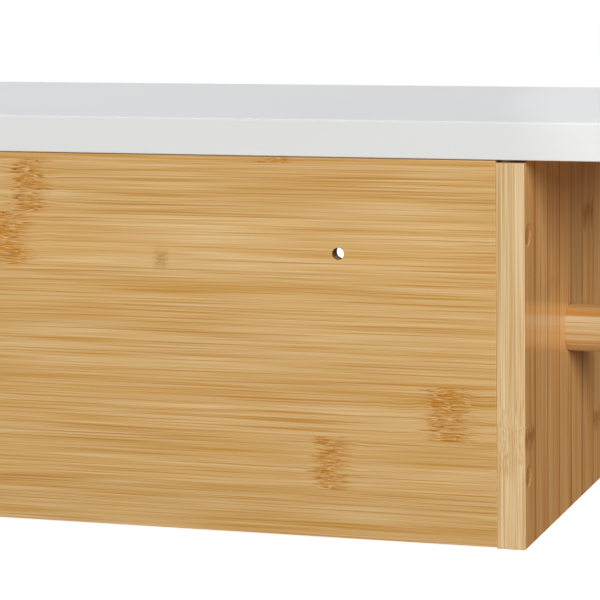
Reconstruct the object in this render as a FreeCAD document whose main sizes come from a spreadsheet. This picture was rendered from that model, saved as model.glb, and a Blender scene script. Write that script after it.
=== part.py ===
import FreeCAD, Part
import os

import Sketcher

# Roll holder: a white board on a bamboo back panel and two bamboo side panels, with a bamboo roll bar
# that pulls out sideways. Screws under bamboo plugs hold the side panels to the ends of the back panel,
# and dowels hold the board. Millimetres, +Z up, the open front faces -Y and the wall side is +Y.
# The origin is on the floor, under the middle of the board.

DIMENSIONS = {
    # Panels
    "panel_thick": 12.0,
    "panel_height": 160.0,
    "inner_width": 334.0,
    "side_depth": 164.0,
    "side_drop": 0.6,
    "side_gap": 1.1,
    "panel_ease": 0.3,
    # Board
    "board_length": 460.0,
    "board_depth": 180.0,
    "board_thick": 15.4,
    "board_round": 0.8,
    "board_ease": 0.4,
    # Roll bar
    "bar_dia": 20.5,
    "bar_clearance": 0.3,
    "bar_height": 80.0,
    "bar_setback": 82.0,
    "bar_stick_out": 32.0,
    "bar_end_round": 2.0,
    # Wall holes
    "wall_hole_dia": 5.0,
    "wall_hole_drop": 40.0,
    "wall_hole_spacing": 200.0,
    "wall_bore_dia": 10.0,
    "wall_bore_depth": 5.2,
    # Screws and plugs
    "screw_inset": 30.0,
    "screw_dia": 4.0,
    "screw_length": 30.0,
    "screw_tip": 5.0,
    "screw_head_dia": 8.0,
    "cross_width": 1.2,
    "cross_span": 4.4,
    "cross_depth": 1.4,
    "plug_dia": 9.5,
    "plug_length": 4.0,
    "plug_sink": 0.45,
    "plug_bevel": 0.3,
    # Dowels
    "dowel_dia": 6.0,
    "dowel_length": 30.0,
    "dowel_in_board": 10.0,
    "dowel_room": 1.0,
    "dowel_bevel": 0.8,
    "flute_dia": 0.8,
    "back_dowel_pitch": 120.0,
    "side_dowel_pitch": 90.0,
}

# Lengths that follow from the driving ones
DERIVED = {
    "outer_width": "inner_width + 2 * panel_thick",
    "side_x": "(inner_width + panel_thick) / 2",
    "side_y": "(board_depth - side_depth) / 2",
    "side_height": "side_drop + panel_height - side_gap",
    "side_z": "side_height / 2",
    "back_y": "(board_depth - panel_thick) / 2",
    "back_z": "side_drop + panel_height / 2",
    "board_z": "side_drop + panel_height",
    "bar_y": "board_depth / 2 - bar_setback",
    "bar_length": "outer_width + 2 * bar_stick_out",
    "screw_half_gap": "panel_height / 2 - screw_inset",
    "plug_seat": "plug_length + plug_sink",
    "screw_seat_x": "outer_width / 2 - plug_seat",
    "screw_in_back": "screw_length - (panel_thick - plug_seat)",
    "screw_head_tall": "(screw_head_dia - screw_dia) / 2",
    "dowel_in_back": "dowel_length - dowel_in_board",
    "dowel_in_side": "dowel_length - dowel_in_board - side_gap",
}

COUNTERSINK_ANGLE = 90.0
FLUTES = 8
# How far apart two heights may be and still count as one level
SAME_LEVEL = 0.01
SIDES = {"left": -1, "right": 1}
LEVELS = {"upper": 1, "lower": -1}
BACK_DOWELS = {"back_left": -1, "back_middle": 0, "back_right": 1}
ENDS = {"front": -1, "rear": 1}

doc = FreeCAD.newDocument("roll_holder")
sizes = doc.addObject("Spreadsheet::Sheet", "sizes")


def fill_sheet():
    row = 0
    for row, (name, value) in enumerate(DIMENSIONS.items(), 1):
        sizes.set(f"A{row}", name)
        sizes.set(f"B{row}", str(value))
        sizes.setAlias(f"B{row}", name)
    for row, (name, formula) in enumerate(DERIVED.items(), row + 1):
        sizes.set(f"A{row}", name)
        sizes.set(f"B{row}", "=" + formula)
        sizes.setAlias(f"B{row}", name)
    doc.recompute()


def bound(formula):
    """The formula with every size in it read from the sheet."""
    words = formula.replace("(", " ( ").replace(")", " ) ").split()
    known = set(DIMENSIONS) | set(DERIVED)
    return " ".join("sizes." + word if word in known else word for word in words)


def bind(item, prop, formula):
    item.setExpression(prop, bound(formula))


def new_body(label, x="0", y="0", z="0", turn=None):
    """An empty body at a place given by formulas, turned about Z by a number of degrees."""
    body = doc.addObject("PartDesign::Body", label)
    body.Label = label
    if turn:
        body.Placement.Rotation = FreeCAD.Rotation(FreeCAD.Vector(0, 0, 1), turn)
    for axis, formula in zip("xyz", (x, y, z)):
        bind(body, f"Placement.Base.{axis}", formula)
    return body


def new_sketch(body, role, offset="0"):
    """An empty sketch on one of the body's own planes, shifted along that plane's normal."""
    sketch = body.newObject("Sketcher::SketchObject", f"{body.Name}_sketch")
    plane = next(item for item in body.Origin.OriginFeatures if item.Role == role)
    sketch.AttachmentSupport = [(plane, "")]
    sketch.MapMode = "FlatFace"
    bind(sketch, "AttachmentOffset.Base.z", offset)
    return sketch


def bind_constraint(sketch, constraint, formula):
    index = sketch.addConstraint(constraint)
    bind(sketch, f"Constraints[{index}]", formula)


def draw_rectangle(sketch, width, height):
    """A rectangle centred on the sketch's origin."""
    corners = [FreeCAD.Vector(x, y, 0) for x, y in ((-1, -1), (1, -1), (1, 1), (-1, 1))]
    first = sketch.GeometryCount
    for start, end in zip(corners, corners[1:] + corners[:1]):
        sketch.addGeometry(Part.LineSegment(start, end), False)
    bottom, right, top, left = range(first, first + 4)
    for line, following in zip((bottom, right, top, left), (right, top, left, bottom)):
        sketch.addConstraint(Sketcher.Constraint("Coincident", line, 2, following, 1))
    for line in (bottom, top):
        sketch.addConstraint(Sketcher.Constraint("Horizontal", line))
    for line in (right, left):
        sketch.addConstraint(Sketcher.Constraint("Vertical", line))
    sketch.addConstraint(Sketcher.Constraint("Symmetric", bottom, 1, right, 2, -1, 1))
    bind_constraint(sketch, Sketcher.Constraint("DistanceX", bottom, 1, bottom, 2, 2.0), width)
    bind_constraint(sketch, Sketcher.Constraint("DistanceY", right, 1, right, 2, 2.0), height)


def draw_circles(sketch, dia, centres):
    """Circles of one diameter, at centres given by pairs of formulas."""
    for across, along in centres:
        round_line = Part.Circle(FreeCAD.Vector(1, 1, 0), FreeCAD.Vector(0, 0, 1), 1)
        circle = sketch.addGeometry(round_line, False)
        bind_constraint(sketch, Sketcher.Constraint("Diameter", circle, 2.0), dia)
        bind_constraint(sketch, Sketcher.Constraint("DistanceX", -1, 1, circle, 3, 1.0), across)
        bind_constraint(sketch, Sketcher.Constraint("DistanceY", -1, 1, circle, 3, 1.0), along)


def draw_profile(sketch, points):
    """A closed outline of straight lines through points given by pairs of formulas."""
    count = len(points)
    guess = [FreeCAD.Vector(sizes_value(across), sizes_value(along), 0) for across, along in points]
    for index in range(count):
        sketch.addGeometry(Part.LineSegment(guess[index], guess[(index + 1) % count]), False)
    for index in range(count):
        sketch.addConstraint(Sketcher.Constraint("Coincident", index, 2, (index + 1) % count, 1))
    for index, (across, along) in enumerate(points):
        bind_constraint(sketch, Sketcher.Constraint("DistanceX", -1, 1, index, 1, guess[index].x), across)
        bind_constraint(sketch, Sketcher.Constraint("DistanceY", -1, 1, index, 1, guess[index].y), along)


def sizes_value(formula):
    """What a formula comes to with the sheet's present values."""
    return float(sizes.evalExpression(bound(formula).replace("sizes.", "")))


def pad(body, sketch, length):
    """Material on both sides of the sketch's plane, to a whole length."""
    feature = body.newObject("PartDesign::Pad", f"{body.Name}_pad")
    feature.Profile = sketch
    feature.SideType = "Symmetric"
    bind(feature, "Length", length)
    doc.recompute()
    return feature


def pocket(body, sketch, depth=None, forward=False):
    """A cut against the sketch's normal, or along it if forward, or right through with no depth."""
    before = body.Shape.Volume
    feature = body.newObject("PartDesign::Pocket", f"{body.Name}_pocket")
    feature.Profile = sketch
    if depth is None:
        feature.SideType = "Symmetric"
        feature.Type = "ThroughAll"
    else:
        feature.Reversed = forward
        bind(feature, "Length", depth)
    doc.recompute()
    check_cut(body, before)
    return feature


def check_cut(body, before):
    if not body.Shape.Volume < before:
        raise RuntimeError(f"a cut in {body.Label} took nothing away")


def ease_edges(body, feature, kind, prop, size, edges=None):
    """Rounds or bevels the named edges of a feature, or all of them."""
    finish = body.newObject(f"PartDesign::{kind}", f"{body.Name}_{kind.lower()}")
    finish.Base = (feature, edges or ["Edge1"])
    finish.UseAllEdges = edges is None
    bind(finish, prop, size)
    doc.recompute()
    return finish


def edge_names(feature, wanted):
    """Names of the edges of a feature's shape that pass a test."""
    return [f"Edge{index}" for index, edge in enumerate(feature.Shape.Edges, 1) if wanted(edge)]


def side_dowel_places(along):
    """Dowel centres along one side panel, from front to rear."""
    return [(along, f"side_y + {end} * side_dowel_pitch / 2") for end in ENDS.values()]


def make_top_board():
    body = new_body("top_board", z="board_z + board_thick / 2")
    outline = new_sketch(body, "XY_Plane")
    draw_rectangle(outline, "board_length", "board_depth")
    slab = pad(body, outline, "board_thick")
    underside = slab.Shape.BoundBox.ZMin + SAME_LEVEL
    upper = edge_names(slab, lambda edge: edge.CenterOfMass.z > underside)
    rounded = ease_edges(body, slab, "Fillet", "Radius", "board_round", upper)
    lower = edge_names(rounded, lambda edge: edge.CenterOfMass.z < underside)
    ease_edges(body, rounded, "Fillet", "Radius", "board_ease", lower)
    holes = new_sketch(body, "XY_Plane", "0 - board_thick / 2")
    centres = [(f"{place} * back_dowel_pitch", "back_y") for place in BACK_DOWELS.values()]
    for sign in SIDES.values():
        centres += side_dowel_places(f"{sign} * side_x")
    draw_circles(holes, "dowel_dia", centres)
    pocket(body, holes, "dowel_in_board + dowel_room", forward=True)


def make_back_panel():
    body = new_body("back_panel", y="back_y", z="back_z")
    outline = new_sketch(body, "XZ_Plane")
    draw_rectangle(outline, "inner_width", "panel_height")
    slab = pad(body, outline, "panel_thick")
    ease_edges(body, slab, "Fillet", "Radius", "panel_ease")
    wall_holes = new_sketch(body, "XZ_Plane")
    hole_z = "panel_height / 2 - wall_hole_drop"
    hole_places = [(f"{sign} * wall_hole_spacing / 2", hole_z) for sign in SIDES.values()]
    draw_circles(wall_holes, "wall_hole_dia", hole_places)
    pocket(body, wall_holes)
    head_bores = new_sketch(body, "XZ_Plane", "panel_thick / 2")
    draw_circles(head_bores, "wall_bore_dia", hole_places)
    pocket(body, head_bores, "wall_bore_depth")
    dowels = new_sketch(body, "XY_Plane", "panel_height / 2")
    dowel_places = [(f"{place} * back_dowel_pitch", "0") for place in BACK_DOWELS.values()]
    draw_circles(dowels, "dowel_dia", dowel_places)
    pocket(body, dowels, "dowel_in_back + dowel_room")
    screw_places = [("0", f"side_z - back_z + {level} * screw_half_gap") for level in LEVELS.values()]
    for sign in SIDES.values():
        pilots = new_sketch(body, "YZ_Plane", f"{sign} * inner_width / 2")
        draw_circles(pilots, "screw_dia", screw_places)
        pocket(body, pilots, "screw_in_back", forward=sign < 0)


def make_side_panel(side, sign):
    body = new_body(f"side_panel_{side}", x=f"{sign} * side_x", y="side_y", z="side_z")
    outline = new_sketch(body, "YZ_Plane")
    draw_rectangle(outline, "side_depth", "side_height")
    slab = pad(body, outline, "panel_thick")
    ease_edges(body, slab, "Fillet", "Radius", "panel_ease")
    bar_hole = new_sketch(body, "YZ_Plane")
    bar_place = ("bar_y - side_y", "bar_height - side_z")
    draw_circles(bar_hole, "bar_dia + 2 * bar_clearance", [bar_place])
    pocket(body, bar_hole)
    dowels = new_sketch(body, "XY_Plane", "side_z")
    draw_circles(dowels, "dowel_dia", [("0", f"{end} * side_dowel_pitch / 2") for end in ENDS.values()])
    pocket(body, dowels, "dowel_in_side + dowel_room")
    screws = [("back_y - side_y", f"{level} * screw_half_gap") for level in LEVELS.values()]
    plugs = new_sketch(body, "YZ_Plane", f"{sign} * panel_thick / 2")
    draw_circles(plugs, "plug_dia", screws)
    pocket(body, plugs, "plug_seat", forward=sign < 0)
    seats = new_sketch(body, "YZ_Plane", f"{sign} * (panel_thick / 2 - plug_seat)")
    draw_circles(seats, "screw_dia", screws)
    drill_countersunk(body, seats, reverse=sign < 0)


def drill_countersunk(body, sketch, reverse):
    """Through holes for countersunk screws at a sketch's circles."""
    doc.recompute()
    before = body.Shape.Volume
    hole = body.newObject("PartDesign::Hole", f"{body.Name}_hole")
    hole.Profile = sketch
    hole.Reversed = reverse
    hole.DepthType = "ThroughAll"
    hole.HoleCutType = "Countersink"
    hole.HoleCutCustomValues = True
    hole.HoleCutCountersinkAngle = COUNTERSINK_ANGLE
    bind(hole, "Diameter", "screw_dia")
    bind(hole, "HoleCutDiameter", "screw_head_dia")
    doc.recompute()
    check_cut(body, before)


def make_roll_bar():
    body = new_body("roll_bar", y="bar_y", z="bar_height")
    section = new_sketch(body, "YZ_Plane")
    draw_circles(section, "bar_dia", [("0", "0")])
    rod = pad(body, section, "bar_length")
    rims = edge_names(rod, lambda edge: edge.Closed)
    ease_edges(body, rod, "Fillet", "Radius", "bar_end_round", rims)


def make_screw(side, sign, level_name, level):
    """A countersunk wood screw with a cross recess, lying along X with its head outwards."""
    body = new_body(
        f"panel_screw_{side}_{level_name}",
        x=f"{sign} * screw_seat_x",
        y="back_y",
        z=f"side_z + {level} * screw_half_gap",
        turn=0 if sign > 0 else 180,
    )
    profile = new_sketch(body, "XY_Plane")
    draw_profile(profile, [
        ("0", "0"),
        ("0", "screw_head_dia / 2"),
        ("0 - screw_head_tall", "screw_dia / 2"),
        ("screw_tip - screw_length", "screw_dia / 2"),
        ("0 - screw_length", "0"),
    ])
    turned = body.newObject("PartDesign::Revolution", f"{body.Name}_revolution")
    turned.Profile = profile
    turned.ReferenceAxis = (profile, ["H_Axis"])
    turned.Angle = 360.0
    doc.recompute()
    for width, height in (("cross_span", "cross_width"), ("cross_width", "cross_span")):
        slot = new_sketch(body, "YZ_Plane")
        draw_rectangle(slot, width, height)
        pocket(body, slot, "cross_depth")


def make_plug(side, sign, level_name, level):
    body = new_body(
        f"screw_plug_{side}_{level_name}",
        x=f"{sign} * (outer_width / 2 - plug_sink - plug_length / 2)",
        y="back_y",
        z=f"side_z + {level} * screw_half_gap",
    )
    section = new_sketch(body, "YZ_Plane")
    draw_circles(section, "plug_dia", [("0", "0")])
    plug = pad(body, section, "plug_length")
    outer = edge_names(plug, lambda edge: edge.Closed and edge.BoundBox.Center.x * sign > 0)
    ease_edges(body, plug, "Chamfer", "Size", "plug_bevel", outer)


def make_dowel(place, x, y):
    """A fluted dowel that stands across the joint between a panel and the board."""
    body = new_body(f"board_dowel_{place}", x=x, y=y, z="board_z + dowel_in_board - dowel_length / 2")
    section = new_sketch(body, "XY_Plane")
    draw_circles(section, "dowel_dia", [("0", "0")])
    rod = pad(body, section, "dowel_length")
    rims = edge_names(rod, lambda edge: edge.Closed)
    ease_edges(body, rod, "Chamfer", "Size", "dowel_bevel", rims)
    flute = new_sketch(body, "XY_Plane")
    draw_circles(flute, "flute_dia", [("dowel_dia / 2", "0")])
    cut = pocket(body, flute)
    flutes = body.newObject("PartDesign::PolarPattern", f"{body.Name}_flutes")
    flutes.Originals = [cut]
    flutes.Axis = (flute, ["N_Axis"])
    flutes.Occurrences = FLUTES
    flutes.Angle = 360.0
    body.Tip = flutes
    before = body.Shape.Volume
    doc.recompute()
    check_cut(body, before)


def make_fixings():
    for side, sign in SIDES.items():
        for level_name, level in LEVELS.items():
            make_screw(side, sign, level_name, level)
            make_plug(side, sign, level_name, level)
        for end_name, end in ENDS.items():
            make_dowel(f"{side}_{end_name}", f"{sign} * side_x", f"side_y + {end} * side_dowel_pitch / 2")
    for place, step in BACK_DOWELS.items():
        make_dowel(place, f"{step} * back_dowel_pitch", "back_y")


def export_pieces():
    doc.recompute()
    for item in doc.Objects:
        if "Invalid" in item.State or "Error" in item.State:
            raise RuntimeError(f"{item.Name} failed: {item.State}")
    bodies = [item for item in doc.Objects if item.TypeId == "PartDesign::Body"]
    for body in bodies:
        if body.Shape.isNull() or not body.Shape.isValid() or len(body.Shape.Solids) != 1:
            raise RuntimeError(f"{body.Label} is not one valid solid")
    os.makedirs("parts", exist_ok=True)
    for body in bodies:
        body.Shape.exportStep(f"parts/{body.Label}.step")
        print(f"{body.Label}: {body.Shape.Volume / 1000:.2f} cm3")


fill_sheet()
make_top_board()
make_back_panel()
for side_name, side_sign in SIDES.items():
    make_side_panel(side_name, side_sign)
make_roll_bar()
make_fixings()
export_pieces()
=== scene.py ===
from collections import namedtuple
from math import cos, floor, pi, radians, sin

import bpy
from bpy.props import FloatProperty, FloatVectorProperty, PointerProperty
from bpy.types import Operator, Panel, PropertyGroup
from mathutils import Matrix, Vector


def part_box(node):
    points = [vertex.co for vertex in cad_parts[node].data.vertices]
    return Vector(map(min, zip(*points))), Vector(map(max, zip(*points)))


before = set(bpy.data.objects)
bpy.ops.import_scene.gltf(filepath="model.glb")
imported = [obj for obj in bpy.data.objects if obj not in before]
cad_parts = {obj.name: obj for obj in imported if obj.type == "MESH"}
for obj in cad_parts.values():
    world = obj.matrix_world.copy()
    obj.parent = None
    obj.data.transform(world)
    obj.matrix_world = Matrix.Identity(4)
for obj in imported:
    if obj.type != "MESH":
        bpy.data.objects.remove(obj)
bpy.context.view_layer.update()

bl_info = {
    "name": "Bamboo roll holder",
    "version": (1, 0, 0),
    "blender": (4, 5, 0),
    "location": "View3D > Sidebar > Roll holder",
    "description": "Finishes a bamboo and white paint roll holder and sets it on a plain studio stage",
    "category": "Object",
}

MM = 0.001

BACK_PANEL = "back_panel"
SIDE_PANELS = ("side_panel_left", "side_panel_right")
TOP_BOARD = "top_board"
ROLL_BAR = "roll_bar"

# A knuckle is the joint of a bamboo stem, cut through: a ragged band across one strip.
# along and across are its middle in the panel, in millimetres, and width is measured along the grain.
Knuckle = namedtuple("Knuckle", "along across width strength")

# The wall holes, in millimetres: from the panel's middle, above the floor, and the radius of the wider bore.
HOLE_ALONG, HOLE_ACROSS, HOLE_REACH = 100.0, 120.6, 5.2

# A faint smudge on the back panel: its middle and its half sizes, in millimetres.
SMUDGE_ALONG, SMUDGE_ACROSS, SMUDGE_HALF_WIDTH, SMUDGE_HALF_HEIGHT = -21.8, 116.4, 4.6, 6.0

BACK_KNUCKLES = (
    Knuckle(38.5, 146.0, 14.0, 1.0),
    Knuckle(48.0, 124.0, 15.0, 1.0),
    Knuckle(-145.0, 55.0, 17.0, 1.0),
    Knuckle(-94.8, 32.0, 13.0, 1.0),
    Knuckle(-72.0, 159.0, 12.0, 0.8),
    Knuckle(104.0, 78.0, 14.0, 1.0),
    Knuckle(131.0, 100.0, 13.0, 0.9),
    Knuckle(84.0, 10.0, 15.0, 1.0),
)
LEFT_KNUCKLES = (
    Knuckle(46.0, 82.0, 8.0, 1.0),
    Knuckle(126.5, -26.0, 9.0, 1.0),
    Knuckle(29.7, -48.0, 8.0, 0.9),
    Knuckle(104.0, 39.0, 6.0, 0.25),
    Knuckle(88.0, -66.0, 8.0, 0.8),
)
RIGHT_KNUCKLES = (
    Knuckle(112.0, 82.0, 7.0, 0.8),
    Knuckle(38.0, 61.0, 8.0, 0.9),
    Knuckle(131.0, 17.0, 8.0, 0.8),
    Knuckle(22.0, -5.0, 7.0, 0.7),
    Knuckle(64.0, -48.0, 8.0, 0.9),
)

# A darker layer in the glued bar, partly a real layer and partly painted shade above and below the bar's lit
# middle: its middle above the bar's axis and its half thickness, in millimetres.
Layer = namedtuple("Layer", "middle half strength")

BAR_LAYERS_AND_SHADE = (
    Layer(8.3, 3.4, 0.60),
    Layer(6.9, 1.3, 0.55),
    Layer(-7.0, 3.6, 0.12),
    Layer(-5.1, 1.1, 0.40),
)


class BambooSettings(PropertyGroup):
    """Strips, colours and lacquer of the bamboo."""

    back_pitch: FloatProperty(
        name="Back strip", description="Width of a strip in the back panel",
        default=22.8 * MM, unit="LENGTH")
    back_start: FloatProperty(
        name="Back start", description="Height of the first seam in the back panel",
        default=-1.9 * MM, unit="LENGTH")
    side_pitch: FloatProperty(
        name="Side strip", description="Width of a strip in the side panels",
        default=22.0 * MM, unit="LENGTH")
    side_start: FloatProperty(
        name="Side start", description="Depth of a seam in the side panels",
        default=6.0 * MM, unit="LENGTH")
    pale: FloatVectorProperty(
        name="Pale fibre", description="Colour between the fibre bundles",
        default=(0.772, 0.535, 0.264, 1.0), size=4, subtype="COLOR")
    blush: FloatVectorProperty(
        name="Blush", description="Colour of the paler patches along the grain of the back panel",
        default=(0.795, 0.580, 0.310, 1.0), size=4, subtype="COLOR")
    middle: FloatVectorProperty(
        name="Middle fibre", description="Main colour of the fibre bundles",
        default=(0.565, 0.279, 0.047, 1.0), size=4, subtype="COLOR")
    dark: FloatVectorProperty(
        name="Dark fibre", description="Colour of single dark fibres",
        default=(0.475, 0.195, 0.022, 1.0), size=4, subtype="COLOR")
    side_pale: FloatVectorProperty(
        name="Side pale fibre", description="Colour between the fibre bundles of the side panels",
        default=(0.855, 0.515, 0.220, 1.0), size=4, subtype="COLOR")
    side_middle: FloatVectorProperty(
        name="Side middle fibre", description="Main colour of the side panels' fibre bundles",
        default=(0.621, 0.260, 0.044, 1.0), size=4, subtype="COLOR")
    side_dark: FloatVectorProperty(
        name="Side dark fibre", description="Colour of single dark fibres and seams of the side panels",
        default=(0.414, 0.130, 0.021, 1.0), size=4, subtype="COLOR")
    plug_pale: FloatVectorProperty(
        name="Plug pale fibre", description="Colour between the fibre bundles of the plugs",
        default=(0.660, 0.385, 0.158, 1.0), size=4, subtype="COLOR")
    plug_middle: FloatVectorProperty(
        name="Plug middle fibre", description="Main colour of the plugs' fibre bundles",
        default=(0.480, 0.195, 0.035, 1.0), size=4, subtype="COLOR")
    bar_pale: FloatVectorProperty(
        name="Bar pale fibre", description="Colour between the fibre bundles of the roll bar",
        default=(0.610, 0.455, 0.258, 1.0), size=4, subtype="COLOR")
    bar_middle: FloatVectorProperty(
        name="Bar middle fibre", description="Main colour of the roll bar's fibre bundles",
        default=(0.495, 0.312, 0.120, 1.0), size=4, subtype="COLOR")
    # Also the colour of the painted shade in the bar's layers.
    bar_dark: FloatVectorProperty(
        name="Bar dark layer", description="Colour of the darker layers in the roll bar",
        default=(0.475, 0.188, 0.030, 1.0), size=4, subtype="COLOR")
    cut_pale: FloatVectorProperty(
        name="Pale cut edge", description="Light colour of the panels' cut edges",
        default=(0.850, 0.638, 0.367, 1.0), size=4, subtype="COLOR")
    cut_dark: FloatVectorProperty(
        name="Dark cut edge", description="Dark colour of the panels' cut edges",
        default=(0.573, 0.325, 0.113, 1.0), size=4, subtype="COLOR")
    flame: FloatVectorProperty(
        name="Flame", description="Colour of the fibres that run through a stem's joint",
        default=(0.53, 0.210, 0.016, 1.0), size=4, subtype="COLOR")
    side_flame: FloatVectorProperty(
        name="Side flame", description="Colour of the fibres that run through a joint of the side panels",
        default=(0.38, 0.130, 0.018, 1.0), size=4, subtype="COLOR")
    knuckle: FloatVectorProperty(
        name="Knuckle", description="Colour of the short dark dashes in a stem's joint",
        default=(0.34, 0.115, 0.008, 1.0), size=4, subtype="COLOR")
    pore: FloatVectorProperty(
        name="Pore", description="Colour of the open pores in the joints",
        default=(0.13, 0.044, 0.011, 1.0), size=4, subtype="COLOR")
    lacquer: FloatProperty(
        name="Lacquer", description="Roughness of the wood under its clear lacquer",
        default=0.4, min=0.0, max=1.0, subtype="FACTOR")
    panel_coat: FloatProperty(
        name="Panel coat", description="Roughness of the lacquer's surface on the panels",
        default=0.08, min=0.0, max=1.0, subtype="FACTOR")
    side_coat: FloatProperty(
        name="Side coat", description="Roughness of the lacquer's surface on the side panels",
        default=0.14, min=0.0, max=1.0, subtype="FACTOR")
    bar_coat: FloatProperty(
        name="Bar coat", description="Roughness of the lacquer's surface on the roll bar",
        default=0.3, min=0.0, max=1.0, subtype="FACTOR")
    shine: FloatProperty(
        name="Shine", description="Strength of the lacquer's reflections",
        default=0.9, min=0.0, max=1.0, subtype="FACTOR")
    side_shine: FloatProperty(
        name="Side shine", description="Strength of the lacquer's reflections on the side panels",
        default=0.55, min=0.0, max=1.0, subtype="FACTOR")


class PaintSettings(PropertyGroup):
    """White paint of the board."""

    colour: FloatVectorProperty(
        name="Paint", description="Colour of the board's paint",
        default=(0.778, 0.775, 0.755, 1.0), size=4, subtype="COLOR")
    roughness: FloatProperty(
        name="Sheen", description="Roughness of the satin paint",
        default=0.5, min=0.0, max=1.0, subtype="FACTOR")
    peel: FloatProperty(
        name="Orange peel", description="Size of the sprayed paint's fine waves",
        default=2.4 * MM, unit="LENGTH")


class FixingSettings(PropertyGroup):
    """Screws and dowels."""

    zinc: FloatVectorProperty(
        name="Zinc", description="Colour of the plated screws",
        default=(0.58, 0.57, 0.53, 1.0), size=4, subtype="COLOR")
    beech_pale: FloatVectorProperty(
        name="Pale beech", description="Light colour of the dowels",
        default=(0.62, 0.42, 0.25, 1.0), size=4, subtype="COLOR")
    beech_dark: FloatVectorProperty(
        name="Dark beech", description="Dark colour of the dowels",
        default=(0.45, 0.27, 0.14, 1.0), size=4, subtype="COLOR")


class StageSettings(PropertyGroup):
    """Camera, lights, floor and background."""

    camera_place: FloatVectorProperty(
        name="Camera", description="Place of the camera",
        default=(-0.45093, 1.19851, 0.27880), size=3, subtype="XYZ", unit="LENGTH")
    heading: FloatProperty(
        name="Heading", description="Turn of the camera about the upright",
        default=pi + 0.32028, subtype="ANGLE")
    tilt: FloatProperty(
        name="Tilt", description="How far the camera looks down", default=0.15124, subtype="ANGLE")
    roll: FloatProperty(
        name="Roll", description="Turn of the camera about its own axis", default=-0.01555, subtype="ANGLE")
    lens: FloatProperty(
        name="Lens", description="Focal length in millimetres on a 36 mm sensor", default=170.694)
    key_power: FloatProperty(
        name="Key", description="Power of the main soft light", default=1158.0, unit="POWER")
    front_power: FloatProperty(
        name="Front", description="Power of the low light beside the camera", default=20.0, unit="POWER")
    top_power: FloatProperty(
        name="Top", description="Power of the overhead light", default=41.8, unit="POWER")
    bounce_power: FloatProperty(
        name="Bounce", description="Power of the light from below, as from a white table",
        default=118.0, unit="POWER")
    spot_power: FloatProperty(
        name="Spot", description="Power of the spot on the near corner", default=26.0, unit="POWER")
    fill_power: FloatProperty(
        name="Fill", description="Power of the light on the open front", default=330.0, unit="POWER")
    surround: FloatProperty(
        name="Surround", description="Brightness of the dim room round the stage", default=0.042, min=0.0)
    floor_size: FloatProperty(
        name="Floor", description="Width of the pale floor", default=3.0, unit="LENGTH")
    floor_glow: FloatProperty(
        name="Floor glow", description="Brightness of the floor in full shadow under the part",
        default=0.7, min=0.0, max=1.0)


class Shading:
    """Adds nodes to one tree. Inputs are sockets or plain values."""

    def __init__(self, tree):
        self.tree = tree

    def node(self, kind, inputs=None, **settings):
        made = self.tree.nodes.new(kind)
        for name, value in settings.items():
            setattr(made, name, value)
        for key, value in (inputs or {}).items():
            self.feed(made.inputs[key], value)
        return made

    def feed(self, socket, value):
        if isinstance(value, bpy.types.NodeSocket):
            self.tree.links.new(value, socket)
        else:
            socket.default_value = value

    def math(self, operation, *values):
        return self.node("ShaderNodeMath", dict(enumerate(values)), operation=operation).outputs[0]

    def stretch(self, vector, by):
        """The vector with each axis multiplied by its own number."""
        return self.node("ShaderNodeVectorMath", {0: vector, 1: by}, operation="MULTIPLY").outputs[0]

    def scale(self, vector, by):
        made = self.node("ShaderNodeVectorMath", {0: vector, "Scale": by}, operation="SCALE")
        return made.outputs[0]

    def parts(self, vector):
        return self.node("ShaderNodeSeparateXYZ", {0: vector}).outputs

    def join(self, x, y, z):
        return self.node("ShaderNodeCombineXYZ", {0: x, 1: y, 2: z}).outputs[0]

    def span(self, value, low, high, to_low=0.0, to_high=1.0, smooth=True):
        """The value carried from one range to another and held at its ends."""
        kind = "SMOOTHSTEP" if smooth else "LINEAR"
        ends = {"Value": value, "From Min": low, "From Max": high, "To Min": to_low, "To Max": to_high}
        return self.node("ShaderNodeMapRange", ends, interpolation_type=kind).outputs[0]

    def noise(self, vector, frequency, detail=2.0, roughness=0.5):
        """Noise with its own frequency, per metre, along each axis."""
        place = self.stretch(vector, frequency)
        ends = {"Vector": place, "Scale": 1.0, "Detail": detail, "Roughness": roughness}
        return self.node("ShaderNodeTexNoise", ends).outputs[0]

    def blend(self, amount, first, second):
        return self.node("ShaderNodeMix", {0: amount, 6: first, 7: second}, data_type="RGBA").outputs[2]

    def group(self, name, inputs):
        made = self.node("ShaderNodeGroup")
        made.node_tree = bpy.data.node_groups[name]
        for key, value in inputs.items():
            self.feed(made.inputs[key], value)
        return made.outputs

    def object_place(self, turn=(0.0, 0.0, 0.0)):
        """Object coordinates, turned."""
        place = self.node("ShaderNodeTexCoord").outputs["Object"]
        return self.node("ShaderNodeMapping", {"Vector": place, "Rotation": turn}).outputs[0]

    def facing(self, axis):
        """How squarely the surface faces along an axis of the piece, from 0 to 1."""
        normal = self.node("ShaderNodeTexCoord").outputs["Normal"]
        return self.math("ABSOLUTE", self.parts(normal)[axis])

    def surface(self, **inputs):
        """A Principled shader on the material's output, with underscores for spaces in its inputs."""
        shader = self.node("ShaderNodeBsdfPrincipled")
        for key, value in inputs.items():
            self.feed(shader.inputs[key.replace("_", " ")], value)
        self.node("ShaderNodeOutputMaterial", {"Surface": shader.outputs[0]})

    def bump(self, height, strength, distance):
        ends = {"Height": height, "Strength": strength, "Distance": distance}
        return self.node("ShaderNodeBump", ends).outputs[0]


SOCKETS = {"value": "NodeSocketFloat", "vector": "NodeSocketVector", "colour": "NodeSocketColor"}


def start_group(name, inputs, outputs):
    """An empty node group, its inputs' sockets by name, and its output node."""
    tree = bpy.data.node_groups.new(name, "ShaderNodeTree")
    for title, kind in inputs.items():
        tree.interface.new_socket(name=title, in_out="INPUT", socket_type=SOCKETS[kind])
    for title, kind in outputs.items():
        tree.interface.new_socket(name=title, in_out="OUTPUT", socket_type=SOCKETS[kind])
    shading = Shading(tree)
    return shading, shading.node("NodeGroupInput").outputs, shading.node("NodeGroupOutput").inputs


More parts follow.
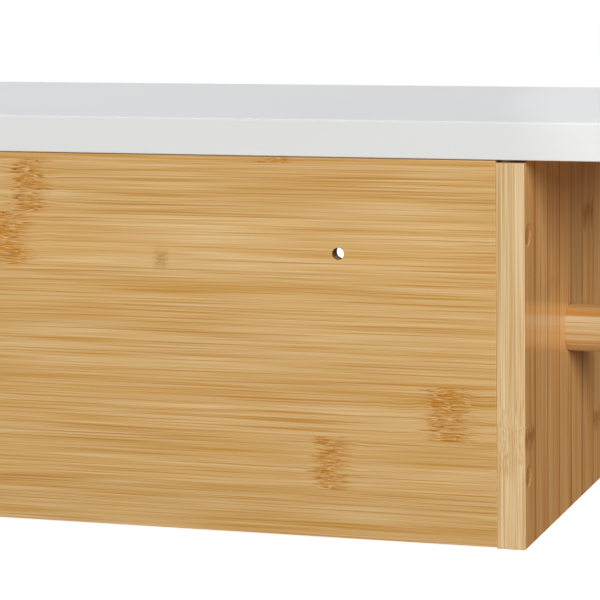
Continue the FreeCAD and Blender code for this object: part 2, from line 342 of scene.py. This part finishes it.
def start_material(name):
    material = bpy.data.materials.new(name)
    material.use_nodes = True
    material.node_tree.nodes.clear()
    return material, Shading(material.node_tree)


# Noise frequencies per metre: along the grain, across the strips and into the wood.
DRIFT = (5.0, 45.0, 45.0)
SWIRL = (70.0, 230.0, 180.0)
BROAD = (4.0, 170.0, 170.0)
BUNDLE = (9.0, 700.0, 640.0)
HAIR = (18.0, 3300.0, 2600.0)
LINES = (10.0, 1500.0, 1300.0)
PATCHES = (8.0, 95.0, 95.0)
FLAMES = (60.0, 1700.0, 1300.0)
FLECKS = (230.0, 2000.0, 1500.0)
DASHES = (170.0, 2300.0, 1700.0)
PORES = (300.0, 560.0, 400.0)
RAGGED = (14.0, 900.0, 700.0)
CLOUD = (25.0, 60.0, 60.0)
WAVES = (90.0, 200.0, 200.0)
MOTTLE = (340.0, 900.0, 700.0)
WANDER = (16.0, 500.0, 400.0)

# How much of the streaks comes from each size of fibre.
BROAD_SHARE, BUNDLE_SHARE, HAIR_SHARE = 0.20, 0.26, 0.54

# Lengths: how far the strips' fibres are set apart, how far they wander and bend, and the blur at a seam.
STRIP_SHIFT = 7.0
DRIFT_REACH = 1.2 * MM
SWIRL_REACH = 3.5 * MM
SEAM_BLUR = 0.25 * MM


def make_knuckle_group():
    """One knuckle: a mask of its ragged band and a wider one of the fibres that bend round it."""
    sh, given, out = start_group(
        "Bamboo knuckle",
        {"Vector": "vector", "Ragged": "value", "Along": "value", "Low Seam": "value",
         "High Seam": "value", "Half Width": "value", "Strength": "value"},
        {"Band": "value", "Bend": "value"})
    along, across = sh.parts(given["Vector"])[:2]
    half = given["Half Width"]
    away = sh.math("SUBTRACT", along, given["Along"])
    torn = sh.math("ADD", away, sh.math("MULTIPLY", given["Ragged"], half))
    above = sh.span(sh.math("SUBTRACT", across, given["Low Seam"]), -SEAM_BLUR, SEAM_BLUR)
    below = sh.span(sh.math("SUBTRACT", given["High Seam"], across), -SEAM_BLUR, SEAM_BLUR)
    inside = sh.math("MULTIPLY", sh.math("MULTIPLY", above, below), given["Strength"])
    # The band ends sharply at its head and fades out along its tail
    head = sh.span(torn, sh.math("MULTIPLY", half, 0.5), half, 1.0, 0.0)
    tail = sh.span(torn, sh.math("MULTIPLY", half, -1.9), sh.math("MULTIPLY", half, -0.4))
    bend = sh.span(sh.math("ABSOLUTE", away), 0.0, sh.math("MULTIPLY", half, 5.0), 1.0, 0.0)
    sh.feed(out["Band"], sh.math("MULTIPLY", sh.math("MULTIPLY", head, tail), inside))
    sh.feed(out["Bend"], sh.math("MULTIPLY", bend, inside))


def make_grain_group():
    """Bamboo fibres in glued strips. The vector runs along the grain, across the strips and into the wood."""
    sh, given, out = start_group(
        "Bamboo grain",
        {"Vector": "vector", "Pitch": "value", "Start": "value", "Seam": "value", "Seam Width": "value",
         "Band": "value", "Bend": "value", "Pale": "colour", "Blush": "colour", "Middle": "colour",
         "Dark": "colour", "Flame": "colour", "Knuckle": "colour", "Pore": "colour", "Spread": "value",
         "Seed": "value"},
        {"Colour": "colour", "Height": "value", "Fibre": "value"})
    along, across, depth = sh.parts(given["Vector"])
    strips = sh.math("DIVIDE", sh.math("SUBTRACT", across, given["Start"]), given["Pitch"])
    number = sh.math("ADD", sh.math("FLOOR", strips), given["Seed"])
    chance = sh.node("ShaderNodeTexWhiteNoise", {"W": number}, noise_dimensions="1D").outputs
    tones = sh.parts(chance["Color"])

    # Each strip has its own stretch of fibres, which wander a little and bend at the knuckles
    own = sh.math("ADD", along, sh.math("MULTIPLY", tones[0], STRIP_SHIFT))
    place = sh.join(own, across, depth)
    drift = sh.math("SUBTRACT", sh.noise(place, DRIFT, 1.0), 0.5)
    swirl = sh.math("SUBTRACT", sh.noise(place, SWIRL, 1.0), 0.5)
    swirl = sh.math("MULTIPLY", sh.math("MULTIPLY", swirl, given["Bend"]), SWIRL_REACH)
    moved = sh.math("ADD", across, sh.math("ADD", sh.math("MULTIPLY", drift, DRIFT_REACH), swirl))
    fibres = sh.join(own, moved, depth)

    # Broad tones, bundles of fibres and single fibres, then a few dark ones
    broad = sh.noise(fibres, BROAD, 1.0)
    bundle = sh.noise(fibres, BUNDLE, 1.0)
    hair = sh.noise(fibres, HAIR, 1.0)
    streak = sh.math("MULTIPLY", broad, BROAD_SHARE)
    streak = sh.math("ADD", streak, sh.math("MULTIPLY", bundle, BUNDLE_SHARE))
    streak = sh.math("ADD", streak, sh.math("MULTIPLY", hair, HAIR_SHARE))
    streak = sh.span(streak, 0.355, 0.645, smooth=False)
    lines = sh.span(sh.noise(fibres, LINES, 0.0), 0.58, 0.74)
    patches = sh.span(sh.noise(fibres, PATCHES, 1.0), 0.48, 0.66, 0.0, 0.4)
    ground = sh.blend(patches, given["Pale"], given["Blush"])
    colour = sh.blend(streak, ground, given["Middle"])
    colour = sh.blend(sh.math("MULTIPLY", lines, 0.6), colour, given["Dark"])

    edge = sh.math("ABSOLUTE", sh.math("SUBTRACT", sh.math("FRACT", strips), 0.5))
    edge = sh.math("MULTIPLY", sh.math("SUBTRACT", 0.5, edge), given["Pitch"])
    seam = sh.math("MULTIPLY", sh.span(edge, 0.0, given["Seam Width"], 1.0, 0.0), given["Seam"])
    colour = sh.blend(seam, colour, given["Dark"])

    # Through a knuckle run orange fibres, short dark dashes, pale flecks and a few open pores
    band = given["Band"]
    flames = sh.span(sh.noise(fibres, FLAMES, 1.0), 0.40, 0.60, 0.35, 0.95)
    colour = sh.blend(sh.math("MULTIPLY", band, flames), colour, given["Flame"])
    flecks = sh.span(sh.noise(fibres, FLECKS, 1.0), 0.54, 0.66, 0.0, 0.8)
    colour = sh.blend(sh.math("MULTIPLY", band, flecks), colour, given["Pale"])
    dashes = sh.span(sh.noise(fibres, DASHES, 1.0), 0.56, 0.68, 0.0, 0.9)
    colour = sh.blend(sh.math("MULTIPLY", band, dashes), colour, given["Knuckle"])
    cells = sh.node("ShaderNodeTexVoronoi", {"Vector": sh.stretch(place, PORES), "Scale": 1.0})
    picked = sh.span(sh.parts(cells.outputs["Color"])[0], 0.74, 0.76)
    dots = sh.span(cells.outputs["Distance"], 0.12, 0.26, 1.0, 0.0)
    pores = sh.math("MULTIPLY", sh.math("MULTIPLY", dots, picked), sh.span(band, 0.6, 0.95))
    colour = sh.blend(sh.math("MULTIPLY", pores, 0.6), colour, given["Pore"])

    spread = given["Spread"]
    darkest, palest = sh.math("SUBTRACT", 1.0, spread), sh.math("ADD", 1.0, spread)
    tone = sh.span(tones[1], 0.0, 1.0, darkest, palest, smooth=False)
    sh.feed(out["Colour"], sh.scale(colour, tone))
    height = sh.math("ADD", sh.math("MULTIPLY", hair, 0.5), sh.math("MULTIPLY", bundle, 0.5))
    height = sh.math("SUBTRACT", height, sh.math("ADD", pores, sh.math("MULTIPLY", seam, 0.6)))
    sh.feed(out["Height"], height)
    sh.feed(out["Fibre"], streak)


def make_lacquer_group():
    """Clear lacquer: a roughness that follows the fibres a little, and its slow waves."""
    sh, given, out = start_group(
        "Clear lacquer",
        {"Vector": "vector", "Fibre": "value", "Roughness": "value"},
        {"Roughness": "value", "Waves": "value"})
    clouds = sh.span(sh.noise(given["Vector"], CLOUD), 0.3, 0.7, -0.03, 0.03)
    change = sh.math("ADD", clouds, sh.span(given["Fibre"], 0.0, 1.0, 0.03, -0.02))
    sh.feed(out["Roughness"], sh.math("ADD", given["Roughness"], change))
    sh.feed(out["Waves"], sh.noise(given["Vector"], WAVES, 1.0))


def make_shared_groups():
    for name, maker in (("Bamboo knuckle", make_knuckle_group), ("Bamboo grain", make_grain_group),
                        ("Clear lacquer", make_lacquer_group)):
        if name not in bpy.data.node_groups:
            maker()


def add_knuckles(sh, vector, knuckles, pitch, start):
    """The bands of all the knuckles of a panel in one mask, and their bends in another."""
    ragged = sh.noise(vector, RAGGED, 2.0, 0.6)
    ragged = sh.span(ragged, 0.25, 0.75, -1.0, 1.0, smooth=False)
    band, bend = 0.0, 0.0
    for knuckle in knuckles:
        low = start + pitch * floor((knuckle.across * MM - start) / pitch)
        one = sh.group("Bamboo knuckle", {
            "Vector": vector, "Ragged": ragged, "Along": knuckle.along * MM, "Low Seam": low,
            "High Seam": low + pitch, "Half Width": knuckle.width * MM / 2, "Strength": knuckle.strength})
        band = sh.math("MAXIMUM", band, one["Band"])
        bend = sh.math("MAXIMUM", bend, one["Bend"])
    return band, bend


Strips = namedtuple("Strips", "turn pitch start seam seam_width spread seed")
Palette = namedtuple("Palette", "pale blush middle dark flame")
Coat = namedtuple("Coat", "weight roughness")


def bamboo_material(name, bamboo, strips, palette, coat, knuckles=(), recolour=None):
    """Lacquered bamboo with its strips turned to lie along the piece. recolour may change the grain."""
    make_shared_groups()
    material, sh = start_material(name)
    vector = sh.object_place(strips.turn)
    band, bend = add_knuckles(sh, vector, knuckles, strips.pitch, strips.start)
    grain = sh.group("Bamboo grain", {
        "Vector": vector, "Pitch": strips.pitch, "Start": strips.start, "Seam": strips.seam,
        "Seam Width": strips.seam_width, "Band": band, "Bend": bend, "Pale": palette.pale,
        "Blush": palette.blush, "Middle": palette.middle, "Dark": palette.dark, "Flame": palette.flame,
        "Knuckle": bamboo.knuckle, "Pore": bamboo.pore, "Spread": strips.spread, "Seed": strips.seed})
    lacquer = sh.group("Clear lacquer", {
        "Vector": vector, "Fibre": grain["Fibre"], "Roughness": bamboo.lacquer})
    colour = grain["Colour"]
    if recolour:
        colour = recolour(sh, bamboo, vector, grain)
    height = sh.math("ADD", grain["Height"], lacquer["Waves"])
    sh.surface(
        Base_Color=colour, Roughness=lacquer["Roughness"], Specular_IOR_Level=0.2, Coat_Weight=coat.weight,
        Coat_Roughness=coat.roughness, Normal=sh.bump(height, strength=0.12, distance=0.25 * MM))
    return material


def pale_cut_edges(sh, bamboo, vector, grain):
    """Paler colours on the edges that face the wall or the open front, and a darker colour on the bore walls.
    """
    low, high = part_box(SIDE_PANELS[0])
    depth = sh.parts(vector)[1]
    skin, under_skin = 0.4 * MM, 0.6 * MM
    at_wall = sh.span(depth, high.y - under_skin, high.y - skin)
    at_front = sh.span(depth, low.y + skin, low.y + under_skin, 1.0, 0.0)
    edge = sh.math("MAXIMUM", at_wall, at_front)
    cut = sh.span(sh.facing(1), 0.4, 0.7)
    # The bore walls, which face along the depth away from the wall and front edges, are darkened a quarter of
    # the way to the pore colour.
    raw = sh.math("MULTIPLY", sh.math("SUBTRACT", 1.0, edge), cut)
    colour = sh.blend(sh.math("MULTIPLY", raw, 0.25), grain["Colour"], bamboo.pore)
    pale_edge = sh.blend(grain["Fibre"], bamboo.cut_pale, bamboo.cut_dark)
    return sh.blend(sh.math("MULTIPLY", edge, cut), colour, pale_edge)


def back_shade_and_smudge(sh, bamboo, vector, grain):
    """Painted shade: a dark line where the back panel meets the board and dark walls in the wall holes; also
    a faint smudge.
    """
    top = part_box(BACK_PANEL)[1].z
    along, across = sh.parts(vector)[:2]
    # Painted shade: the top edge is darkened where the board shades the joint.
    joint = sh.span(across, top - 0.5 * MM, top - 0.2 * MM, 0.0, 0.75)
    # Painted shade: the walls inside the wider bore of each wall hole are darkened almost to the pore colour.
    beside = sh.math("SUBTRACT", sh.math("ABSOLUTE", along), HOLE_ALONG * MM)
    above = sh.math("SUBTRACT", across, HOLE_ACROSS * MM)
    away = sh.math("SQRT", sh.math("ADD", sh.math("POWER", beside, 2.0), sh.math("POWER", above, 2.0)))
    near = sh.span(away, HOLE_REACH * MM, (HOLE_REACH + 0.1) * MM, 0.92, 0.0)
    wall = sh.span(sh.facing(1), 0.3, 0.6, 1.0, 0.0)
    sideways = sh.math("ABSOLUTE", sh.math("SUBTRACT", along, SMUDGE_ALONG * MM))
    upward = sh.math("ABSOLUTE", sh.math("SUBTRACT", across, SMUDGE_ACROSS * MM))
    wide = sh.span(sideways, 0.2 * SMUDGE_HALF_WIDTH * MM, SMUDGE_HALF_WIDTH * MM, 1.0, 0.0)
    tall = sh.span(upward, 0.2 * SMUDGE_HALF_HEIGHT * MM, SMUDGE_HALF_HEIGHT * MM, 1.0, 0.0)
    mottle = sh.span(sh.noise(vector, MOTTLE, 1.0), 0.35, 0.65, 0.2, 0.48)
    smudge = sh.math("MULTIPLY", sh.math("MULTIPLY", wide, tall), mottle)
    colour = sh.blend(smudge, grain["Colour"], bamboo.knuckle)
    colour = sh.blend(joint, colour, bamboo.pore)
    return sh.blend(sh.math("MULTIPLY", near, wall), colour, bamboo.pore)


def bar_layers_and_shade(sh, bamboo, vector, grain):
    """Darker orange layers at their heights in the bar, with edges that wander along the grain: partly real
    glued layers, partly painted shade that darkens the bar above and below its lit middle, more over the top.
    """
    low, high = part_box(ROLL_BAR)
    wander = sh.noise(vector, WANDER, 1.0)
    wander = sh.span(wander, 0.25, 0.75, -0.9 * MM, 0.9 * MM, smooth=False)
    height = sh.math("SUBTRACT", sh.math("ADD", sh.parts(vector)[1], wander), (low.z + high.z) / 2)
    colour = grain["Colour"]
    # Painted shade in part: the layers darken the bar above and below its lit middle, more over the top.
    for layer in BAR_LAYERS_AND_SHADE:
        away = sh.math("ABSOLUTE", sh.math("SUBTRACT", height, layer.middle * MM))
        inside = sh.span(away, 0.5 * layer.half * MM, layer.half * MM, layer.strength, 0.0)
        colour = sh.blend(inside, colour, bamboo.bar_dark)
    return colour


def dress(node, material):
    """Puts a material in every slot of a node, whose shape stays as it is."""
    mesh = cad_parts[node].data
    mesh.materials.clear()
    mesh.materials.append(material)


def nodes_named(start):
    names = sorted(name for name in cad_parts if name.startswith(start))
    if not names:
        raise RuntimeError(f"no piece is named {start}")
    return names


# Turns that lay the grain along the bar or upright.
ALONG_X = (-pi / 2, 0.0, 0.0)
ALONG_Z = (0.0, pi / 2, 0.0)


class ROLLHOLDER_OT_back_panel(Operator):
    """Finish the back panel in bamboo strips that lie along the wall"""

    bl_idname = "roll_holder.back_panel"
    bl_label = "Back panel"

    def execute(self, context):
        bamboo = context.scene.roll_holder_bamboo
        strips = Strips(
            turn=ALONG_X, pitch=bamboo.back_pitch, start=bamboo.back_start, seam=0.25, seam_width=0.5 * MM,
            spread=0.07, seed=3742.0)
        palette = Palette(bamboo.pale, bamboo.blush, bamboo.middle, bamboo.dark, bamboo.flame)
        coat = Coat(bamboo.shine, bamboo.panel_coat)
        dress(BACK_PANEL, bamboo_material(
            "Back bamboo", bamboo, strips, palette, coat, BACK_KNUCKLES, back_shade_and_smudge))
        return {"FINISHED"}


class ROLLHOLDER_OT_side_panels(Operator):
    """Finish the side panels in upright bamboo strips with paler cut edges"""

    bl_idname = "roll_holder.side_panels"
    bl_label = "Side panels"

    def execute(self, context):
        bamboo = context.scene.roll_holder_bamboo
        palette = Palette(
            bamboo.side_pale, bamboo.side_pale, bamboo.side_middle, bamboo.side_dark, bamboo.side_flame)
        coat = Coat(bamboo.side_shine, bamboo.side_coat)
        seeds = (2118.0, 41.0)
        for node, knuckles, seed in zip(SIDE_PANELS, (LEFT_KNUCKLES, RIGHT_KNUCKLES), seeds):
            strips = Strips(
                turn=ALONG_Z, pitch=bamboo.side_pitch, start=bamboo.side_start, seam=0.75,
                seam_width=1.7 * MM, spread=0.07, seed=seed)
            name = f"Side bamboo {node.split('_')[-1]}"
            dress(node, bamboo_material(name, bamboo, strips, palette, coat, knuckles, pale_cut_edges))
        return {"FINISHED"}


class ROLLHOLDER_OT_roll_bar(Operator):
    """Finish the roll bar in turned bamboo with its grain along the bar"""

    bl_idname = "roll_holder.roll_bar"
    bl_label = "Roll bar"

    def execute(self, context):
        bamboo = context.scene.roll_holder_bamboo
        strips = Strips(
            turn=ALONG_X, pitch=40.0 * MM, start=60.0 * MM, seam=0.0, seam_width=0.5 * MM, spread=0.0,
            seed=71.0)
        palette = Palette(
            bamboo.bar_pale, bamboo.bar_pale, bamboo.bar_middle, bamboo.bar_dark, bamboo.flame)
        coat = Coat(bamboo.shine, bamboo.bar_coat)
        dress(ROLL_BAR, bamboo_material(
            "Bar bamboo", bamboo, strips, palette, coat, recolour=bar_layers_and_shade))
        return {"FINISHED"}


class ROLLHOLDER_OT_plugs(Operator):
    """Finish the plugs over the screws in bamboo"""

    bl_idname = "roll_holder.plugs"
    bl_label = "Screw plugs"

    def execute(self, context):
        bamboo = context.scene.roll_holder_bamboo
        strips = Strips(
            turn=ALONG_Z, pitch=20.0 * MM, start=74.0 * MM, seam=0.0, seam_width=0.5 * MM, spread=0.04,
            seed=5.0)
        palette = Palette(
            bamboo.plug_pale, bamboo.plug_pale, bamboo.plug_middle, bamboo.side_dark, bamboo.side_flame)
        coat = Coat(bamboo.shine, bamboo.panel_coat)
        material = bamboo_material("Plug bamboo", bamboo, strips, palette, coat)
        for node in nodes_named("screw_plug"):
            dress(node, material)
        return {"FINISHED"}


class ROLLHOLDER_OT_top_board(Operator):
    """Finish the board in sprayed white satin paint"""

    bl_idname = "roll_holder.top_board"
    bl_label = "Top board"

    def execute(self, context):
        paint = context.scene.roll_holder_paint
        material, sh = start_material("White satin paint")
        place = sh.object_place()
        per_wave = 1.0 / paint.peel
        peel = sh.noise(place, (per_wave, per_wave, per_wave))
        cloud = sh.noise(place, (14.0, 14.0, 14.0))
        shade = sh.span(cloud, 0.3, 0.7, 0.996, 1.004)
        # Painted shade on the rounded edges, where no part of the normal is near 1: their colour is darkened
        # to dim the highlight they catch
        flat = sh.math("MAXIMUM", sh.facing(0), sh.math("MAXIMUM", sh.facing(1), sh.facing(2)))
        shade = sh.math("MULTIPLY", shade, sh.span(flat, 0.85, 0.99, 0.86, 1.0))
        roughness = sh.span(cloud, 0.3, 0.7, paint.roughness - 0.01, paint.roughness + 0.01)
        colour = sh.node("ShaderNodeRGB")
        colour.outputs[0].default_value = paint.colour
        sh.surface(
            Base_Color=sh.scale(colour.outputs[0], shade), Roughness=roughness, Specular_IOR_Level=0.15,
            Normal=sh.bump(peel, strength=0.06, distance=0.1 * MM))
        dress(TOP_BOARD, material)
        return {"FINISHED"}


class ROLLHOLDER_OT_screws(Operator):
    """Finish the screws in zinc plate"""

    bl_idname = "roll_holder.screws"
    bl_label = "Screws"

    def execute(self, context):
        fixing = context.scene.roll_holder_fixing
        material, sh = start_material("Zinc plate")
        place = sh.object_place()
        turned = sh.noise(place, (2400.0, 300.0, 300.0))
        spots = sh.noise(place, (500.0, 500.0, 500.0), 3.0)
        colour = sh.node("ShaderNodeRGB")
        colour.outputs[0].default_value = fixing.zinc
        sh.surface(
            Base_Color=sh.scale(colour.outputs[0], sh.span(spots, 0.3, 0.7, 0.85, 1.1)), Metallic=1.0,
            Roughness=sh.span(turned, 0.3, 0.7, 0.28, 0.45),
            Normal=sh.bump(turned, strength=0.1, distance=0.05 * MM))
        for node in nodes_named("panel_screw"):
            dress(node, material)
        return {"FINISHED"}


class ROLLHOLDER_OT_dowels(Operator):
    """Finish the dowels in raw beech"""

    bl_idname = "roll_holder.dowels"
    bl_label = "Dowels"

    def execute(self, context):
        fixing = context.scene.roll_holder_fixing
        material, sh = start_material("Raw beech")
        place = sh.object_place()
        grain = sh.noise(place, (900.0, 900.0, 40.0), 3.0, 0.6)
        rays = sh.noise(place, (2600.0, 2600.0, 420.0), 0.0)
        colour = sh.blend(sh.span(grain, 0.35, 0.65), fixing.beech_pale, fixing.beech_dark)
        colour = sh.blend(sh.span(rays, 0.62, 0.72, 0.0, 0.5), colour, fixing.beech_dark)
        sh.surface(
            Base_Color=colour, Roughness=sh.span(grain, 0.3, 0.7, 0.6, 0.75),
            Normal=sh.bump(grain, strength=0.2, distance=0.1 * MM))
        for node in nodes_named("board_dowel"):
            dress(node, material)
        return {"FINISHED"}


SENSOR_WIDTH, FAR_CLIP = 36.0, 50.0


def place_camera(stage):
    camera = bpy.data.objects.new("Camera", bpy.data.cameras.new("Camera"))
    camera.data.sensor_width = SENSOR_WIDTH
    camera.data.lens = stage.lens
    camera.data.clip_end = FAR_CLIP
    turn = Matrix.Rotation(stage.heading, 4, "Z") @ Matrix.Rotation(pi / 2 - stage.tilt, 4, "X")
    turn = turn @ Matrix.Rotation(stage.roll, 4, "Z")
    camera.matrix_world = Matrix.Translation(stage.camera_place) @ turn
    bpy.context.scene.collection.objects.link(camera)
    bpy.context.scene.camera = camera


COOL = (0.893, 0.945, 1.0)
SKY = (0.80, 0.90, 1.0)
PALE_SKY = (0.995, 0.98, 1.0)
SOFT_WHITE = (1.0, 0.98, 0.986)
WARM = (1.0, 0.702, 0.386)

# A square soft light: where it stands round the part, in degrees and metres, its width and colour,
# the setting that holds its power, and whether glossy surfaces mirror it.
SoftLight = namedtuple("SoftLight", "name heading height distance size colour power mirrored")

SOFT_LIGHTS = (
    SoftLight("Key light", 36, 26, 10.0, 5.25, COOL, "key_power", True),
    SoftLight("Front light", -12, 11, 5.0, 2.0, SKY, "front_power", True),
    SoftLight("Top light", 235, 64, 2.5, 2.0, PALE_SKY, "top_power", True),
    SoftLight("Bounce light", 45, -55, 5.0, 4.6, WARM, "bounce_power", True),
    SoftLight("Fill light", 236, -28, 7.0, 6.0, SOFT_WHITE, "fill_power", False),
)
LIT_MIDDLE = (-0.1, 0.0, 0.1)

# The spot shines down from the wall side and aims past the board's end, so its rim falls near the corner.
BOARD_END, SPOT_AIM = (-0.19, 0.05, 0.17), (-0.413, -0.115, 0.18)
SPOT_HEADING, SPOT_HEIGHT, SPOT_DISTANCE = -5, 47, 1.8
SPOT_CONE, SPOT_BLEND, SPOT_RADIUS = radians(17.0), 0.22, 0.01


def place_light(light, place, aim):
    """Puts a light in the scene, facing a point and out of the camera's sight."""
    lamp = bpy.data.objects.new(light.name, light)
    lamp.location = place
    lamp.rotation_euler = (Vector(aim) - Vector(place)).to_track_quat("-Z", "Y").to_euler()
    lamp.visible_camera = False
    bpy.context.scene.collection.objects.link(lamp)
    return lamp


def toward(middle, heading, height, distance):
    """A place round a middle, by two angles in degrees: from the wall side to the left end, and upward."""
    turned, raised = radians(heading), radians(height)
    way = Vector((-sin(turned) * cos(raised), cos(turned) * cos(raised), sin(raised)))
    return Vector(middle) + way * distance


def add_soft_light(soft, power):
    light = bpy.data.lights.new(soft.name, "AREA")
    light.shape = "SQUARE"
    light.size = soft.size
    light.energy = power
    light.color = soft.colour
    place = toward(LIT_MIDDLE, soft.heading, soft.height, soft.distance)
    place_light(light, place, LIT_MIDDLE).visible_glossy = soft.mirrored


def add_spot_light(power):
    """A narrow spot with a clear rim."""
    light = bpy.data.lights.new("Spot light", "SPOT")
    light.spot_size = SPOT_CONE
    light.spot_blend = SPOT_BLEND
    light.shadow_soft_size = SPOT_RADIUS
    light.energy = power
    place_light(light, toward(BOARD_END, SPOT_HEADING, SPOT_HEIGHT, SPOT_DISTANCE), SPOT_AIM)


# The floor lies just under the feet. Its glow rises to full white between these distances from the middle.
FLOOR_DROP = 0.2 * MM
FLOOR_NEAR, FLOOR_FAR = 0.35, 0.75


def lay_floor(stage):
    """A plain pale floor that the camera alone sees, so that light from below still reaches the part.

    It glows enough to stay white in open light, and keeps a soft shadow close under the part.
    """
    half = stage.floor_size / 2
    mesh = bpy.data.meshes.new("Floor")
    corners = [(-half, -half, 0), (half, -half, 0), (half, half, 0), (-half, half, 0)]
    mesh.from_pydata(corners, [], [(0, 1, 2, 3)])
    material, sh = start_material("Pale floor")
    away = sh.node("ShaderNodeVectorMath", {0: sh.object_place()}, operation="LENGTH").outputs["Value"]
    glow = sh.span(away, FLOOR_NEAR, FLOOR_FAR, stage.floor_glow, 1.0)
    front = sh.math("SUBTRACT", 1.0, sh.node("ShaderNodeNewGeometry").outputs["Backfacing"])
    sh.surface(
        Base_Color=(0.8, 0.8, 0.8, 1.0), Roughness=1.0, Specular_IOR_Level=0.0, Alpha=front,
        Emission_Color=(1.0, 1.0, 1.0, 1.0), Emission_Strength=glow)
    mesh.materials.append(material)
    floor_object = bpy.data.objects.new("Floor", mesh)
    floor_object.location.z = -FLOOR_DROP
    floor_object.visible_diffuse = False
    floor_object.visible_glossy = False
    floor_object.visible_transmission = False
    floor_object.visible_shadow = False
    bpy.context.scene.collection.objects.link(floor_object)


def light_surround(stage):
    world = bpy.data.worlds.new("Studio")
    world.use_nodes = True
    world.node_tree.nodes.clear()
    sh = Shading(world.node_tree)
    room = sh.node("ShaderNodeBackground", {"Strength": stage.surround}).outputs[0]
    white = sh.node("ShaderNodeBackground", {"Color": (1.0, 1.0, 1.0, 1.0), "Strength": 1.0}).outputs[0]
    seen = sh.node("ShaderNodeLightPath").outputs["Is Camera Ray"]
    mixed = sh.node("ShaderNodeMixShader", {0: seen, 1: room, 2: white}).outputs[0]
    sh.node("ShaderNodeOutputWorld", {"Surface": mixed})
    bpy.context.scene.world = world


class ROLLHOLDER_OT_stage(Operator):
    """Set the camera, the soft lights, the pale floor and the white background"""

    bl_idname = "roll_holder.stage"
    bl_label = "Stage"

    def execute(self, context):
        stage = context.scene.roll_holder_stage
        context.scene.view_settings.view_transform = "Standard"
        place_camera(stage)
        light_surround(stage)
        lay_floor(stage)
        for soft in SOFT_LIGHTS:
            add_soft_light(soft, getattr(stage, soft.power))
        add_spot_light(stage.spot_power)
        return {"FINISHED"}


class ROLLHOLDER_PT_sidebar(Panel):
    """Settings and steps of the roll holder"""

    bl_label = "Roll holder"
    bl_idname = "ROLLHOLDER_PT_sidebar"
    bl_space_type = "VIEW_3D"
    bl_region_type = "UI"
    bl_category = "Roll holder"

    def draw(self, context):
        for title in SETTINGS:
            settings = getattr(context.scene, title)
            box = self.layout.box()
            for name in settings.__annotations__:
                box.prop(settings, name)
        for operator in OPERATORS:
            self.layout.operator(operator.bl_idname)


SETTINGS = {
    "roll_holder_bamboo": BambooSettings,
    "roll_holder_paint": PaintSettings,
    "roll_holder_fixing": FixingSettings,
    "roll_holder_stage": StageSettings,
}
OPERATORS = (
    ROLLHOLDER_OT_back_panel,
    ROLLHOLDER_OT_side_panels,
    ROLLHOLDER_OT_roll_bar,
    ROLLHOLDER_OT_plugs,
    ROLLHOLDER_OT_top_board,
    ROLLHOLDER_OT_screws,
    ROLLHOLDER_OT_dowels,
    ROLLHOLDER_OT_stage,
)


def register():
    for settings in SETTINGS.values():
        bpy.utils.register_class(settings)
    for operator in OPERATORS:
        bpy.utils.register_class(operator)
    bpy.utils.register_class(ROLLHOLDER_PT_sidebar)
    for title, settings in SETTINGS.items():
        setattr(bpy.types.Scene, title, PointerProperty(type=settings))


def unregister():
    for title in SETTINGS:
        delattr(bpy.types.Scene, title)
    bpy.utils.unregister_class(ROLLHOLDER_PT_sidebar)
    for operator in reversed(OPERATORS):
        bpy.utils.unregister_class(operator)
    for settings in reversed(list(SETTINGS.values())):
        bpy.utils.unregister_class(settings)


def main():
    register()
    for operator in OPERATORS:
        group, name = operator.bl_idname.split(".")
        getattr(getattr(bpy.ops, group), name)()


if __name__ == "__main__":
    main()
